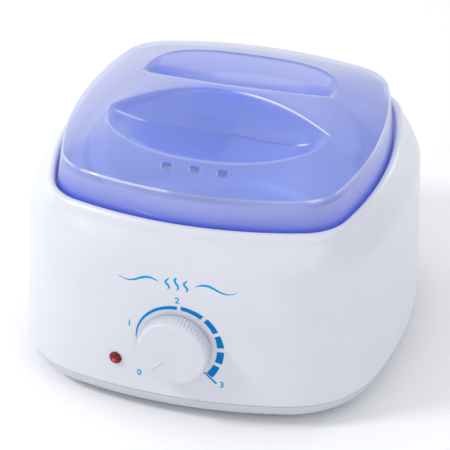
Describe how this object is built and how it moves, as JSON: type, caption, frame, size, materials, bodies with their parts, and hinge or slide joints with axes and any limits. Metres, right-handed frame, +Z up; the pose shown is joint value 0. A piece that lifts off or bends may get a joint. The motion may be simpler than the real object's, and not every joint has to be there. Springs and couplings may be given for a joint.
{
  "type": "wax warmer pot",
  "caption": "Squarish table-top wax warmer with a lift-out metal pot, a bail handle, a translucent grip lid and a front temperature knob.",
  "frame": {"origin": "plan centre of the warmer on the table plane, under the feet", "axes": "+Z up, the knob and the indicator lamp face -Y, the power inlet faces +Y, +X to the right seen from the front"},
  "size_m": [0.19, 0.2074, 0.1343],
  "materials": {
    "shell": "gloss",
    "base": "satin",
    "foot_rubber": "matte",
    "screw_steel": "satin",
    "cup_metal": "satin",
    "ring_steel": "satin",
    "band_metal": "satin",
    "insulation": "matte",
    "shield_metal": "satin",
    "fuse_metal": "satin",
    "thermostat": "matte",
    "copper": "satin",
    "knob_white": "gloss",
    "lens_red": "gloss",
    "lamp_sleeve": "matte",
    "inlet_black": "matte",
    "pin_brass": "polished",
    "terminal_white": "matte",
    "lead_black": "matte",
    "lead_red": "matte",
    "lead_blue": "matte",
    "pot_metal": "satin",
    "lug_steel": "satin",
    "wire_steel": "polished",
    "grip_white": "satin",
    "lid_clear": "gloss"
  },
  "bodies": {
    "base": {"housing": "shell", "base_cover": "base", "feet": "foot_rubber", "base_screws": "screw_steel", "heating_cup": "cup_metal", "retaining_ring": "ring_steel", "heater_band": "band_metal", "band_clamp_screw": "screw_steel", "insulation_sleeve": "insulation", "heat_shield": "shield_metal", "shield_posts": "screw_steel", "thermal_fuse": "fuse_metal", "fuse_clip": "ring_steel", "thermostat_body": "thermostat", "thermostat_nut": "screw_steel", "sensor_bulb": "copper", "bulb_clips": "ring_steel", "capillary_tube": "copper", "lamp_lens": "lens_red", "lamp_body": "lamp_sleeve", "inlet_body": "inlet_black", "inlet_pins": "pin_brass", "inlet_screws": "screw_steel", "terminal_block": "terminal_white", "mains_leads": "lead_black", "thermostat_leads": "lead_red", "fuse_leads": "lead_blue", "lamp_lead": "lead_black"},
    "knob": {"knob": "knob_white", "thermostat_shaft": "screw_steel"},
    "pot": {"inner_pot": "pot_metal", "bail_lugs": "lug_steel"},
    "bail": {"bail_handle": "wire_steel", "bail_grip": "grip_white"},
    "lid": {"lid": "lid_clear"}
  },
  "joints": [
    {"name": "knob_turn", "type": "hinge", "parent": "base", "child": "knob", "pos_m": [0, -0.095, 0.0435], "axis": [0, 1, 0], "range_deg": [0, 270]},
    {"name": "pot_lift", "type": "slide", "parent": "base", "child": "pot", "axis": [0, 0, 1], "range_m": [0, 0.11]},
    {"name": "lid_lift", "type": "slide", "parent": "pot", "child": "lid", "axis": [0, 0, 1], "range_m": [0, 0.18]},
    {"name": "bail_swing", "type": "hinge", "parent": "pot", "child": "bail", "pos_m": [0, 0, 0.1032], "axis": [1, 0, 0], "range_deg": [0, 180]}
  ],
  "couplings": [
    {"joint": "bail_swing", "follows": "lid_lift", "rad_per_m": 17.453}
  ]
}
